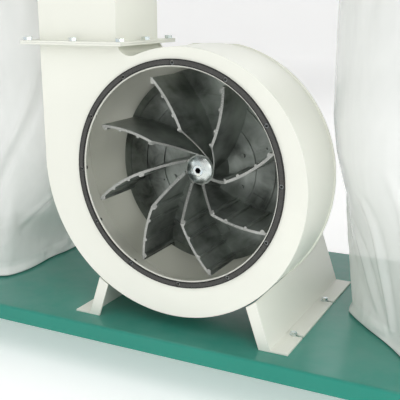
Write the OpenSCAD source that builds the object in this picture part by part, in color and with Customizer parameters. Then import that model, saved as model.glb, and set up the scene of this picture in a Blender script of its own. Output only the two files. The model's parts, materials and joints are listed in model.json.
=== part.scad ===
/* [Base and casters] */
// Width of the base tray, left to right
base_w = 1250; // [1220:1:1320]
// Depth of the base tray, front to back
base_d = 550; // [546:1:600]
// Height of the tray's folded rim
base_rim = 28; // [24:1:34]
// Height of the tray's top above the floor
base_top = 104; // [100:1:110]
// Caster wheel diameter
wheel_d = 75; // [70:1:76]
// Distance from a caster's swivel axis back to its axle
caster_trail = 26; // [22:1:28]

/* [Blower housing] */
// Height of the shaft above the base tray
shaft_h = 260; // [252:1:270]
// Offset of the shaft to the right of the base's middle
shaft_x = 39; // [34:1:40]
// Inside radius of the scroll's first arc, by the tongue
scroll_r = 206.5; // [204:0.5:208]
// Growth of the scroll's radius in each quarter turn
scroll_step = 16.8; // [15:0.1:17]
// Depth of the housing, front face to back face
housing_d = 126; // [125:1:130]
// Width of the outlet duct
outlet_w = 147.5; // [144:0.5:150]
// Radius of the inlet hole in the front plate
inlet_r = 168.5; // [167:0.5:169]
// Number of cover screws around the inlet
cover_screws = 12; // [8:1:16]

/* [Impeller] */
// Number of blades
blades = 8; // [6:1:10]
// Radius at the blade tips
tip_r = 161.5; // [158:0.5:162]
// Radius of the corner where a blade's front edge starts to slope to the hub
knee_r = 75; // [70:1:80]
// Angle by which a tip trails its knee, in degrees
blade_sweep = 18.3; // [14:0.1:22]
// Angle by which the hub end leads the knee, in degrees
hub_lead = 36; // [30:1:42]
// Blade thickness
blade_t = 4.4; // [4:0.1:5]

/* [Drums and bags] */
// Radius of the sheet metal drums
drum_r = 236; // [232:1:237]
// Distance between the two drum axes
drum_spacing = 918; // [912:1:930]
// Height of a drum
drum_h = 300; // [290:1:320]
// Height of the cloth filter bags above the drums
filter_bag_h = 870; // [800:1:950]
// Radius of the bags where they are fullest
bag_r = 240; // [239.6:0.1:241]

/* [Motor] */
// Radius over the motor's cooling ribs
motor_r = 96; // [94:1:97]
// Number of cooling ribs
motor_ribs = 30; // [24:1:36]

/* [Hidden] */
$fn = 96;
eps = 0.1;
gap = 0.1;          // between faces that only touch
run_fit = 0.05;     // radial clearance of every running fit

// Colours
c_green = [0.20, 0.56, 0.50];
c_cream = [0.90, 0.92, 0.88];
c_zinc = [0.78, 0.80, 0.80];
c_cast = [0.36, 0.38, 0.38];
c_black = [0.12, 0.12, 0.13];
c_film = [0.88, 0.92, 0.90, 0.6];
c_cloth = [0.93, 0.93, 0.90];
c_motor = [0.16, 0.36, 0.32];
c_copper = [0.75, 0.42, 0.22];

// Sheets
sheet = 2.5;
wall = 2;

// Blower frame: its origin is the shaft axis on the front plate's front face
front_y = -base_d / 2 + 37;
shaft_z = base_top + shaft_h;

// Scroll: three tangent quarter arcs on the corners of a square
half_step = scroll_step / 2;
arc_a = [half_step, -half_step];
arc_b = [-half_step, -half_step];
arc_c = [-half_step, half_step];
left_x = -half_step - scroll_r - 2 * scroll_step;
duct_x = left_x + outlet_w;
flange_z = 197;
flange_t = 3;
flange_lip = 22;
tongue_r = 24;
tongue_x = duct_x + tongue_r;
tongue_z = arc_a[1] + sqrt(pow(scroll_r + tongue_r, 2) - pow(tongue_x - arc_a[0], 2));
tongue_end = arc_a[0] + (tongue_x - arc_a[0]) * scroll_r / (scroll_r + tongue_r) - 2;
back_rim = 2.5;

// Inlet
gasket_t = 2.5;
gasket_or = inlet_r + 11.5;
gasket_ir = inlet_r + 2;
cover_pcr = inlet_r + 6;
insert_bore = 2.1;
insert_r = 2.9;
insert_turn = 1;

// Impeller, along Y in the blower frame
tip_y = 14;
disc_y = 110;
disc_t = 5;
disc_r = 164;
hub_r = 25;
axis_dx = 2;
axis_dz = -4;
hub_y = 80;
tip_phase = -18.5;
bore_r = 14;
washer_r = 22.5;

// Stand
stand_depth = 344;
stand_half = 168;
stand_x = -5;
stand_t = 3;
stand_lean = 0.336;     // run over rise of the side plates
foot_w = 28;
foot_bolt_x = 12;
foot_bolt_y = [70, 231];
foot_bolt_r = 3;
shelf_z = -112;
foot_z = shelf_z - axis_dz;     // underside of the motor's feet, from the shaft
shelf_t = 4;

// Motor, along Y in the blower frame
frame_r = motor_r - 8;
frame_ir = frame_r - 8;
bell_y = 126;
frame_y = 166;
frame_end = 372;
rear_y = 398;
fan_y = 404;
cover_end = 446;
bearing_r = 31;
bearing_id = 15;
bearing_w = 16;
front_bearing_y = 142;
rear_bearing_y = 378;
rotor_y = [215, 325];
rotor_r = 49.5;
face_bolt_r = 82;
rib_t = 3;

// Motor switch box
box_x = [-165, -100];
box_y = [235, 325];
box_z = [-88, 50];
button_r = 11;
button_x = -132;
start_z = 22;
stop_z = -26;
gland_x = -132;
gland_z = -64;
cord_r = 5;

// Drums
drum_cx = drum_spacing / 2;
drum_z = shaft_z + 325;
drum_top = drum_z + drum_h;
bead = 1.2;
duct_z0 = shaft_z + 396;
duct_z1 = shaft_z + 536;
post_w = 25;
post_r = 262;
post_angles = [65, -65, 115];   // for the right-hand drum
post_top = drum_z + 150;
ear_z = [drum_z + 60, drum_z + 130];
foot_t = 4;

// Hangers
rod_r = 6;
hanger_y = 254;
hanger_bend = 50;
hanger_z = drum_top + filter_bag_h + 40;
hanger_foot = drum_z + 70;
rod_ear_z = [drum_z + 84, drum_z + 232];
rod_ear_h = 26;
loop_r = 15;
loop_t = 3;

// Bags
cloth_t = 1.6;
film_t = 1.6;
bag_lap = 36;
bag_in_r = drum_r + bead + gap;

// Band clamps
band_t = 1.2;
band_h = 18;
band_in = 10;          // from a drum's end to the band's near edge
latch_turn = -115;     // angle of the right-hand latches about the drum
lever_l = 62;
pin_r = 2;

// Casters
caster_x = base_w / 2 - 125;
caster_y = base_d / 2 - 66;
axle_r = 4;
king_r = 6;
plate_t = 3;
caster_top = base_top - sheet;
CORNERS = [[-1, -1], [1, -1], [-1, 1], [1, 1]];

// ---------------------------------------------------------------- helpers

// Extrudes a shape drawn in X and Z from y0 to y1
module slab(y0, y1) {
    translate([0, y1, 0]) rotate([90, 0, 0]) linear_extrude(height = y1 - y0) children();
}

// Turns a profile drawn as (radius, y) about the Y axis
module lathe_y() {
    rotate([-90, 0, 0]) rotate_extrude($fn = 128) children();
}

module blower() {
    translate([shaft_x, front_y, shaft_z]) children();
}

// The rotor's and motor's own frame: their axis lies a little off the inlet's centre
module shaft_line() {
    blower() translate([axis_dx, 0, axis_dz]) children();
}

// Box from its low corner to its high corner
module span(lo, hi) {
    translate(lo) cube(hi - lo);
}

module tube(ro, ri, h) {
    difference() {
        cylinder(r = ro, h = h);
        translate([0, 0, -eps]) cylinder(r = ri, h = h + 2 * eps);
    }
}

// Hexagon bolt along +Z: head below z = 0, shank up through the grip, nut on its far side
module hex_bolt(r, grip, washer = 0) {
    head = 1.3 * r;
    translate([0, 0, -head - washer]) cylinder(r = 1.85 * r, h = head, $fn = 6);
    if (washer > 0)
        translate([0, 0, -washer]) cylinder(r = 2.2 * r, h = washer);
    translate([0, 0, -eps - washer]) cylinder(r = r, h = grip + 2.4 * r + eps + washer);
    translate([0, 0, grip]) cylinder(r = 1.85 * r, h = 1.6 * r, $fn = 6);
}

// Hexagon screw along +Z in a tapped hole: head below z = 0
module hex_screw(r, length, head) {
    translate([0, 0, -head]) cylinder(r = 1.85 * r, h = head, $fn = 6);
    translate([0, 0, -eps]) cylinder(r = r, h = length + eps);
}

// ---------------------------------------------------------------- base and casters

module tray_profile(w, h, r) {
    translate([-w / 2, 0]) square([w, h - r]);
    translate([-w / 2 + r, 0]) square([w - 2 * r, h]);
    for (s = [-1, 1])
        translate([s * (w / 2 - r), h - r]) circle(r, $fn = 32);
}

module tray_solid(w, d, h, r) {
    intersection() {
        translate([0, d / 2, 0]) rotate([90, 0, 0]) linear_extrude(height = d) tray_profile(w, h, r);
        translate([-w / 2, 0, 0]) rotate([90, 0, 90]) linear_extrude(height = w) tray_profile(d, h, r);
    }
}

module base_plate() {
    color(c_green) difference() {
        translate([0, 0, base_top - base_rim]) tray_solid(base_w, base_d, base_rim, 4);
        translate([0, 0, base_top - base_rim - eps])
            tray_solid(base_w - 2 * sheet, base_d - 2 * sheet, base_rim - sheet + eps, 1.5);
        caster_bolt_places() cylinder(r = 4.3, h = 20, center = true);
        foot_bolt_places() cylinder(r = foot_bolt_r + 0.3, h = 20, center = true);
        post_foot_places() cylinder(r = 4.3, h = 20, center = true);
    }
}

// Children are placed on the tray's top, at each caster bolt
module caster_bolt_places() {
    for (c = CORNERS)
        for (b = CORNERS)
            translate([c[0] * caster_x + b[0] * 28, c[1] * caster_y + b[1] * 20, base_top]) children();
}

module caster_plates() {
    color(c_zinc) for (c = CORNERS) translate([c[0] * caster_x, c[1] * caster_y, 0]) difference() {
        union() {
            translate([-38, -29, caster_top - plate_t - gap]) cube([76, 58, plate_t]);
            translate([0, 0, 91]) cylinder(r = 21, h = caster_top - plate_t - gap - 91 + 1);
            translate([0, 0, 78]) cylinder(r = king_r, h = 14);
            translate([0, 0, 76]) cylinder(r = 9, h = 3.6);
        }
        for (b = CORNERS)
            translate([b[0] * 28, b[1] * 20, 90]) cylinder(r = 4.3, h = 20);
    }
}

module caster_bolts() {
    grip = sheet + plate_t + 2 * gap;
    color(c_zinc) caster_bolt_places()
        translate([0, 0, gap]) mirror([0, 0, 1]) hex_bolt(4, grip + gap);
}

// Fork of the caster in corner c, with its wheel trailing to the back
module caster_fork(c) {
    axle_z = wheel_d / 2;
    color(c_zinc) translate([c[0] * caster_x, c[1] * caster_y, 0]) difference() {
        union() {
            translate([0, 0, 84]) cylinder(r = 22, h = 6.5);
            for (s = [-1, 1])
                translate([s * 17.5 - 1.5, 0, 0]) rotate([90, 0, 90]) linear_extrude(height = 3) {
                    polygon([[-14, 90.4], [14, 90.4], [caster_trail + 11, axle_z + 3],
                             [caster_trail + 11, axle_z], [caster_trail - 11, axle_z]]);
                    translate([caster_trail, axle_z]) circle(11);
                }
        }
        translate([0, 0, 70]) cylinder(r = king_r + run_fit, h = 30);
        translate([0, 0, 70]) cylinder(r = 9.6, h = 14.2);
        translate([-30, caster_trail, axle_z]) rotate([0, 90, 0]) cylinder(r = axle_r + gap, h = 60);
    }
}

module caster_axle(c) {
    color(c_zinc) translate([c[0] * caster_x, c[1] * caster_y + caster_trail, wheel_d / 2]) rotate([0, 90, 0])
        translate([0, 0, -19 - gap]) hex_bolt(axle_r, 38 + 2 * gap);
}

module caster_wheel(c) {
    r = wheel_d / 2;
    color(c_black) translate([c[0] * caster_x, c[1] * caster_y + caster_trail, r]) rotate([0, 90, 0])
        rotate_extrude() {
        difference() {
            union() {
                translate([0, -11]) square([r - 4, 22]);
                translate([0, -7]) square([r, 14]);
                for (s = [-1, 1])
                    translate([r - 4, s * 7]) circle(4, $fn = 32);
                translate([0, -15]) square([9, 30]);
            }
            square([2 * (axle_r + run_fit), 60], center = true);
            for (s = [-1, 1])
                translate([19, s * 11]) square([12, 6], center = true);
            translate([-50, -50]) square([50, 100]);
        }
    }
}

// ---------------------------------------------------------------- stand

// Section of a side plate, t thick, from the tray up to z = top, for the right side
module leg_section(t, top) {
    rise = top + shaft_h;
    polygon([[stand_half, -shaft_h], [stand_half - t, -shaft_h],
             [stand_half - t - stand_lean * rise, top], [stand_half - stand_lean * rise, top]]);
}

module stand_plate(side) {
    slot_r = foot_bolt_r + 0.5;
    color(c_cream) blower() difference() {
        translate([stand_x, 0, 0]) mirror([side < 0 ? 1 : 0, 0, 0]) difference() {
            union() {
                slab(0, stand_depth) leg_section(stand_t, shelf_z);
                slab(0, stand_t) leg_section(20, shelf_z);
                slab(stand_depth - stand_t, stand_depth) leg_section(20, shelf_z - shelf_t - gap);
                span([stand_half - stand_t, 0, -shaft_h], [stand_half + foot_w,
                     stand_depth, -shaft_h + stand_t]);
            }
            for (y = foot_bolt_y) {
                translate([stand_half + foot_bolt_x, y, -shaft_h - 1]) cylinder(r = slot_r, h = 6);
                span([stand_half + foot_bolt_x, y - slot_r, -shaft_h - 1],
                     [stand_half + foot_w + 1, y + slot_r, -shaft_h + 6]);
            }
        }
        slab(-1, housing_d + gap) scroll_outline(-back_rim - gap, 0);
    }
}

// Children are placed on the tray's top, at each foot bolt
module foot_bolt_places() {
    for (s = [-1, 1])
        for (y = foot_bolt_y)
            translate([shaft_x + stand_x + s * (stand_half + foot_bolt_x), front_y + y, base_top]) children();
}

module motor_shelf() {
    half = stand_half - stand_t - stand_lean * (shelf_z + shaft_h) - 1;
    color(c_cream) blower() translate([stand_x, 0, 0]) difference() {
        union() {
            span([-half, housing_d + 12, shelf_z - shelf_t], [half, stand_depth, shelf_z]);
            for (y = [housing_d + 12, stand_depth - stand_t - 4 - gap])
                span([-half, y, shelf_z - 26], [half, y + 4, shelf_z - shelf_t]);
        }
        translate([axis_dx - stand_x, 0, axis_dz]) motor_foot_places()
            cylinder(r = 5.4, h = 60, center = true);
    }
}

module frame_bolts() {
    color(c_zinc) {
        foot_bolt_places() translate([0, 0, stand_t + gap]) mirror([0, 0, 1])
            hex_bolt(foot_bolt_r, sheet + stand_t + 2 * gap, 1.6);
        post_foot_places() translate([0, 0, foot_t + gap]) mirror([0, 0, 1])
            hex_bolt(4, sheet + foot_t + 2 * gap, 1.6);
        flange_bolt_places() translate([0, 0, 2 * flange_t + 2 * gap]) mirror([0, 0, 1])
            hex_screw(4, 2 * flange_t + gap, 5.2);
        post_ear_places() hex_bolt(4, post_r + post_w / 2 - drum_r + wall + 1 + 2 * gap);
    }
}

// ---------------------------------------------------------------- blower housing

// Outline of the housing in X and Z, moved inwards by inset and open by lift above the outlet
module scroll_outline(inset, lift) {
    big = 2 * scroll_r + 200;
    translate(arc_a) circle(scroll_r - inset, $fn = 180);
    intersection() {
        translate(arc_b) circle(scroll_r + scroll_step - inset, $fn = 180);
        translate([-big, arc_b[1] - big]) square([2 * big, big]);
    }
    intersection() {
        translate(arc_c) circle(scroll_r + 2 * scroll_step - inset, $fn = 180);
        translate([arc_c[0] - big, arc_c[1] - big]) square([big, big]);
    }
    translate([left_x + inset, arc_a[1]])
        square([outlet_w - 2 * inset, flange_z + lift - arc_a[1]]);
    difference() {
        translate([duct_x - inset - 1, arc_a[1]])
            square([tongue_end - duct_x + inset + 1, flange_z + lift - arc_a[1]]);
        translate([tongue_x, tongue_z]) circle(tongue_r + inset, $fn = 96);
    }
}

module cover_screw_places() {
    for (i = [0 : cover_screws - 1])
        rotate([0, 360 * i / cover_screws - insert_turn, 0]) translate([0, 0, cover_pcr]) children();
}

module housing_front_plate() {
    color(c_cream) blower() difference() {
        slab(0, sheet) scroll_outline(0, 0);
        slab(-1, sheet + 1) circle(inlet_r, $fn = 180);
        cover_screw_places() slab(-1, sheet + 1) circle(insert_r + gap, $fn = 32);
    }
}

module housing_wrap() {
    color(c_cream) blower() difference() {
        slab(sheet, housing_d - sheet) scroll_outline(0, 0);
        slab(sheet - 1, housing_d) scroll_outline(wall, 1);
    }
}

module housing_back_plate() {
    color(c_cream) blower() difference() {
        intersection() {
            slab(housing_d - sheet, housing_d) scroll_outline(-back_rim, 0);
            span([-400, 0, -400], [400, housing_d + 1, flange_z]);
        }
        translate([axis_dx, 0, axis_dz]) {
            slab(housing_d - 9, housing_d + 1) circle(20);
            face_bolt_places() slab(-9, 9) circle(5.4, $fn = 32);
        }
    }
}

// Rectangular frame around the outlet, between z0 and z1 above the shaft
module outlet_frame(z0, z1) {
    difference() {
        span([left_x - flange_lip, -flange_lip, z0], [duct_x + flange_lip, housing_d + flange_lip, z1]);
        span([left_x + wall, sheet, z0 - 1], [duct_x - wall, housing_d - sheet, z1 + 1]);
    }
}

// Children are placed on the lower frame's underside, at each outlet bolt
module flange_bolt_places() {
    x0 = left_x - 14.5;
    x1 = duct_x + 14.5;
    y1 = housing_d + 12;
    spots = [for (i = [0 : 2]) for (y = [-12, y1]) [x0 + i * (x1 - x0) / 2, y],
             for (x = [x0, x1]) [x, housing_d / 2]];
    for (p = spots)
        translate([shaft_x + p[0], front_y + p[1], shaft_z + flange_z]) children();
}

module outlet_flange() {
    color(c_cream) difference() {
        blower() outlet_frame(flange_z, flange_z + flange_t);
        flange_bolt_places() cylinder(r = 4 + gap, h = 20, center = true);
    }
}

module inlet_gasket() {
    color(c_black) blower() difference() {
        slab(-gasket_t, 0) circle(gasket_or, $fn = 180);
        slab(-gasket_t - 1, 1) circle(gasket_ir, $fn = 180);
        cover_screw_places() slab(-gasket_t - 1, 1) circle(insert_r + 0.8, $fn = 32);
    }
}

module cover_inserts() {
    color(c_zinc) blower() cover_screw_places() difference() {
        union() {
            slab(-1, 0) circle(insert_r + 0.6, $fn = 32);
            slab(-gap, 11) circle(insert_r, $fn = 32);
        }
        slab(-2, 12) circle(insert_bore, $fn = 32);
    }
}

// ---------------------------------------------------------------- impeller

function polar(r, a) = [r * sin(a), r * cos(a)];
// Centre of the circle through three points
function circumcentre(a, b, c) = let (
    d = 2 * (a[0] * (b[1] - c[1]) + b[0] * (c[1] - a[1]) + c[0] * (a[1] - b[1])),
    aa = a * a, bb = b * b, cc = c * c
) [(aa * (b[1] - c[1]) + bb * (c[1] - a[1]) + cc * (a[1] - b[1])) / d,
   (aa * (c[0] - b[0]) + bb * (a[0] - c[0]) + cc * (b[0] - a[0])) / d];

blade_hub = polar(hub_r - 1, tip_phase + blade_sweep + hub_lead);
blade_knee = polar(knee_r, tip_phase + blade_sweep);
blade_tip = polar(tip_r, tip_phase);
blade_c = circumcentre(blade_hub, blade_knee, blade_tip);
blade_rc = norm(blade_tip - blade_c);
// Point at fraction t of the way from the knee to the tip, on the trailing face
function rib_at(t) = let (
    p = blade_knee + t * (blade_tip - blade_knee),
    u = (p - blade_c) / norm(p - blade_c)
) blade_c + u * (blade_rc - blade_t / 2);

// One blade's plan, an arc through hub, knee and tip, with casting ribs on its trailing face
module blade_plan() {
    intersection() {
        difference() {
            translate(blade_c) circle(blade_rc + blade_t / 2, $fn = 240);
            translate(blade_c) circle(blade_rc - blade_t / 2, $fn = 240);
        }
        circle(tip_r, $fn = 180);
        polygon([blade_c, blade_c + 2 * (blade_hub - blade_c), 2 * (blade_knee - blade_c) * 1.2 + blade_c,
                 blade_c + 2.6 * (blade_tip - blade_c)
                            + 40 * (blade_tip - blade_knee) / norm(blade_tip - blade_knee)]);
    }
    for (t = [0.27, 0.63])
        translate(rib_at(t)) circle(2.8, $fn = 24);
    translate(rib_at(0)) circle(3.9, $fn = 24);
    translate(rib_at(0.93)) circle(3.8, $fn = 24);
}

module impeller() {
    color(c_cast) shaft_line() difference() {
        union() {
            for (i = [0 : blades - 1])
                rotate([0, 360 * i / blades, 0]) slab(tip_y, disc_y + 1) blade_plan();
            lathe_y() difference() {
                union() {
                    translate([0, disc_y]) square([disc_r, disc_t]);
                    for (r = [84, 118, 151])
                        translate([r, disc_y - 2]) square([3, 3]);
                    translate([0, hub_y]) square([hub_r, disc_y + 6 - hub_y]);
                    polygon([[hub_r - 1, hub_y + 6], [hub_r + 14, disc_y + 1], [hub_r - 1, disc_y + 1]]);
                }
                translate([-400, 0]) square([400, 300]);
            }
            for (i = [0 : blades - 1])
                rotate([0, 360 * (i + 0.55) / blades, 0]) {
                    translate([0, 0, 68]) slab(disc_y - 3, disc_y + 1) circle(3.2, $fn = 24);
                    span([-1.5, disc_y - 2.5, 90], [1.5, disc_y + 1, 112]);
                }
        }
        // The eye, where the front edges slope from the knees back to the hub
        lathe_y() polygon([[0, tip_y - 1], [knee_r + 1, tip_y - 1], [knee_r, tip_y], [hub_r + 2, hub_y - 3],
                           [hub_r + 2, hub_y], [0, hub_y]]);
        slab(hub_y - 5, disc_y + 9) circle(bore_r + 0.02, $fn = 64);
        span([-4.05, hub_y - 5, 0], [4.05, disc_y + 9, bore_r + 3.2]);
    }
}

// Domed washer with a countersunk hole
module impeller_washer() {
    color(c_zinc) shaft_line() lathe_y() difference() {
        intersection() {
            translate([0, hub_y + 29.22]) circle(38.97, $fn = 360);
            translate([0, hub_y - 8.6]) square([washer_r, 8.6 - gap]);
        }
        polygon([[-1, hub_y - 12], [12.12, hub_y - 12], [5.4, hub_y - 3.6],
                 [5.4, hub_y + 1], [-1, hub_y + 1]]);
    }
}

// Countersunk socket screw in the end of the shaft
module impeller_bolt() {
    color(c_zinc) shaft_line() difference() {
        lathe_y() polygon([[0, hub_y - 8.2], [9.02, hub_y - 8.2], [4.9, hub_y - 3.05],
                           [4.9, hub_y + 24], [0, hub_y + 24]]);
        slab(hub_y - 9, hub_y - 4.6) circle(5.2, $fn = 6);
        slab(hub_y - 9, hub_y + 2) circle(3, $fn = 32);
    }
}

// ---------------------------------------------------------------- motor

module face_bolt_places() {
    for (a = [45 : 90 : 315])
        rotate([0, a, 0]) translate([0, housing_d, face_bolt_r]) children();
}

module motor_foot_places() {
    for (x = [-80, 80])
        for (y = [200, 320])
            translate([x, y, foot_z]) children();
}

module motor_front_bell() {
    color(c_motor) shaft_line() difference() {
        lathe_y() difference() {
            union() {
                translate([0, bell_y + gap]) square([95, 12]);
                translate([0, bell_y + 6]) square([frame_r, frame_y - bell_y - 6 - gap]);
                translate([0, frame_y - 6]) square([frame_ir - gap, 16]);
            }
            translate([0, bell_y - 1]) square([17, 100]);
            translate([0, front_bearing_y]) square([bearing_r, 60]);
            translate([bearing_r - 1, front_bearing_y + bearing_w]) square([frame_ir - 8 - bearing_r, 60]);
            translate([-400, 0]) square([400, 300]);
        }
        face_bolt_places() slab(-1, 13) circle(5 + gap, $fn = 32);
    }
}

module motor_frame() {
    color(c_motor) shaft_line() difference() {
        union() {
            slab(frame_y, frame_end) circle(frame_r, $fn = 128);
            for (i = [0 : motor_ribs - 1])
                rotate([0, 360 * i / motor_ribs + 6, 0])
                    span([-rib_t / 2, frame_y + 6, frame_r - 2], [rib_t / 2, frame_end - 6, motor_r]);
            for (s = [-1, 1]) {
                span([s * 80 - 18, frame_y + 14, foot_z + gap], [s * 80 + 18, frame_end - 14, foot_z + 9]);
                span([s * 62 - 5, frame_y + 14, foot_z + gap], [s * 62 + 5, frame_end - 14, -50]);
            }
            span([box_x[1] + gap, 252, -28], [-frame_r + 8, 308, 28]);
        }
        slab(frame_y - 1, frame_end + 1) circle(frame_ir, $fn = 128);
        motor_foot_places() cylinder(r = 5.4, h = 40, center = true);
        translate([-70, 280, 0]) rotate([0, -90, 0]) cylinder(r = 9, h = 60);
    }
}

module motor_rear_bell() {
    color(c_motor) shaft_line() lathe_y() difference() {
        union() {
            translate([0, frame_end + gap]) square([frame_r, rear_y - frame_end - gap]);
            translate([0, frame_end - 10]) square([frame_ir - gap, 12]);
        }
        translate([0, 300]) square([16, 200]);
        translate([0, 300]) square([bearing_r, rear_bearing_y + bearing_w - 300]);
        translate([bearing_r + 6, 300]) square([frame_ir - 8 - bearing_r - 6, rear_bearing_y + 8 - 300]);
        translate([-400, 0]) square([400, 600]);
    }
}

// Bolts through the housing into the motor's face, and through its feet into the shelf
module motor_bolts() {
    color(c_zinc) shaft_line() {
        face_bolt_places() translate([0, -sheet - gap, 0]) rotate([-90, 0, 0]) hex_screw(5, 12 + sheet, 4);
        motor_foot_places() translate([0, 0, 9 + gap]) mirror([0, 0, 1])
            hex_bolt(5, 9 + shelf_t + 2 * gap, 1.6);
    }
}

module motor_shaft() {
    color(c_zinc) shaft_line() difference() {
        lathe_y() polygon([[0, hub_y + 1], [bore_r, hub_y + 1], [bore_r, front_bearing_y - 4],
                           [bearing_id, front_bearing_y - 4], [bearing_id, 170], [18, 170], [18, 366],
                           [bearing_id, 366], [bearing_id, 400], [10, 400], [10, cover_end - 12],
                           [0, cover_end - 12]]);
        slab(hub_y - 9, hub_y + 25) circle(4.9, $fn = 48);
        span([-4.02, hub_y, 9.8], [4.02, disc_y + 4, 20]);
    }
}

module rotor_core() {
    color(c_zinc) shaft_line() lathe_y()
        translate([18, rotor_y[0]]) square([rotor_r - 18, rotor_y[1] - rotor_y[0]]);
}

module shaft_key() {
    color(c_zinc) shaft_line() span([-4, hub_y + 2, 10], [4, disc_y + 3, bore_r + 3]);
}

module motor_bearings() {
    color(c_zinc) shaft_line() for (y = [front_bearing_y, rear_bearing_y])
        lathe_y() difference() {
            translate([bearing_id + 0.02, y]) square([bearing_r - gap - bearing_id - 0.02, bearing_w]);
            for (s = [0, bearing_w])
                translate([(bearing_id + bearing_r) / 2, y + s]) square([8, 2], center = true);
        }
}

module stator_core() {
    color(c_cast) shaft_line() lathe_y()
        translate([rotor_r + 0.8, rotor_y[0]]) square([frame_ir - rotor_r - 0.8 - gap,
                rotor_y[1] - rotor_y[0]]);
}

module stator_windings() {
    color(c_copper) shaft_line() for (y = [rotor_y[0] - 11, rotor_y[1] + 11])
        lathe_y() translate([64, y]) circle(10, $fn = 32);
}

module cooling_fan() {
    color(c_black) shaft_line() difference() {
        union() {
            lathe_y() translate([0, fan_y]) square([52, 3]);
            lathe_y() translate([0, fan_y]) square([18, 22]);
            for (i = [0 : 7])
                rotate([0, 45 * i, 0]) span([-1.5, fan_y, 16], [1.5, fan_y + 22, 74]);
        }
        slab(fan_y - 1, fan_y + 30) circle(10.02, $fn = 64);
    }
}

module fan_cover() {
    color(c_motor) shaft_line() difference() {
        lathe_y() difference() {
            union() {
                translate([frame_r + 0.3, frame_end + 8]) square([1.5, cover_end - 8 - frame_end - 8]);
                translate([0, cover_end - 1.5]) square([frame_r - 6, 1.5]);
                intersection() {
                    translate([frame_r - 6.2, cover_end - 8]) difference() {
                        circle(8, $fn = 48);
                        circle(6.5, $fn = 48);
                    }
                    translate([frame_r - 6.2, cover_end - 8]) square(20);
                }
            }
            translate([-400, 0]) square([400, 600]);
        }
        for (r = [24, 38, 52, 66])
            for (i = [0 : floor(r / 3.4) - 1])
                rotate([0, 360 * i / floor(r / 3.4), 0]) translate([0, 0, r])
                    slab(cover_end - 5, cover_end + 1) circle(4, $fn = 16);
    }
}

module capacitor_places() {
    for (a = [-30, 30])
        rotate([0, a, 0]) translate([0, 0, motor_r + 21]) children();
}

module capacitor_covers() {
    color(c_motor) shaft_line() difference() {
        capacitor_places() {
            slab(186, 306) circle(24, $fn = 64);
            span([-24, 186, -30], [24, 306, 0]);
        }
        capacitor_places() {
            slab(188, 304) circle(22, $fn = 64);
            span([-22, 188, -32], [22, 304, 0]);
        }
        slab(180, 310) circle(motor_r + gap, $fn = 128);
    }
}

module capacitors() {
    color([0.15, 0.15, 0.16]) shaft_line() capacitor_places() {
        slab(192, 292) circle(18, $fn = 64);
        for (x = [-6, 6])
            translate([x, 0, 0]) slab(291, 301) circle(2.5, $fn = 24);
    }
}

module switch_box() {
    color(c_black) shaft_line() difference() {
        span([box_x[0], box_y[0], box_z[0]], [box_x[1], box_y[1], box_z[1]]);
        span([box_x[0] + 3, box_y[0] + 3, box_z[0] + 3], [box_x[1] - 3, box_y[1] - 3, box_z[1] - 3]);
        for (z = [start_z, stop_z])
            translate([button_x, 0, z]) slab(box_y[1] - 9, box_y[1] + 1) circle(button_r + 0.08, $fn = 64);
        translate([box_x[1] - 9, 280, 0]) rotate([0, 90, 0]) cylinder(r = 9, h = 20);
        translate([gland_x, 0, gland_z]) slab(box_y[1] - 9, box_y[1] + 1) circle(8 + gap);
    }
}

// Push button with a collar inside the box that stops it coming out
module push_button(z, out) {
    shaft_line() translate([button_x, 0, z]) {
        slab(box_y[1] - 8, box_y[1] + out) circle(button_r, $fn = 64);
        slab(box_y[1] - 12, box_y[1] - 3.3) circle(button_r + 2, $fn = 64);
    }
}

module start_button() {
    color([0.15, 0.6, 0.25]) push_button(start_z, 5);
}

module stop_button() {
    color([0.8, 0.12, 0.1]) {
        push_button(stop_z, 6);
        shaft_line() translate([button_x, 0, stop_z])
            slab(box_y[1] + 5.9, box_y[1] + 12) circle(15, $fn = 64);
    }
}

module cable_gland() {
    color(c_black) shaft_line() translate([gland_x, box_y[1], gland_z]) rotate([90, 0, 0]) difference() {
        union() {
            translate([0, 0, -6 - gap]) cylinder(r = 13, h = 6, $fn = 6);
            translate([0, 0, -17]) cylinder(r = 10.5, h = 12);
            translate([0, 0, -8]) cylinder(r = 8, h = 16);
            translate([0, 0, 3 + gap]) cylinder(r = 12, h = 5, $fn = 6);
        }
        translate([0, 0, -20]) cylinder(r = cord_r, h = 40);
    }
}

// ---------------------------------------------------------------- ducts and drums

module each_drum() {
    for (s = [-1, 1])
        translate([s * drum_cx, 0, 0]) mirror([s < 0 ? 1 : 0, 0, 0]) children();
}

module duct_tee() {
    y0 = front_y;
    y1 = front_y + housing_d;
    x0 = shaft_x + left_x;
    x1 = shaft_x + duct_x;
    color(c_cream) difference() {
        union() {
            span([x0, y0, shaft_z + flange_z + 2 * flange_t], [x1, y1, duct_z0 + 5]);
            span([-drum_cx, y0, duct_z0], [drum_cx, y1, duct_z1]);
            blower() outlet_frame(flange_z + flange_t + gap, flange_z + 2 * flange_t + gap);
        }
        span([x0 + wall, y0 + wall, shaft_z + flange_z], [x1 - wall, y1 - wall, duct_z1 - wall]);
        span([-drum_cx - 1, y0 + wall, duct_z0 + wall], [drum_cx + 1, y1 - wall, duct_z1 - wall]);
        flange_bolt_places() cylinder(r = 4.3, h = 20, center = true);
        each_drum() translate([0, 0, duct_z0 - 20])
            cylinder(r = drum_r + gap, h = duct_z1 - duct_z0 + 40, $fn = 180);
    }
}

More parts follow.
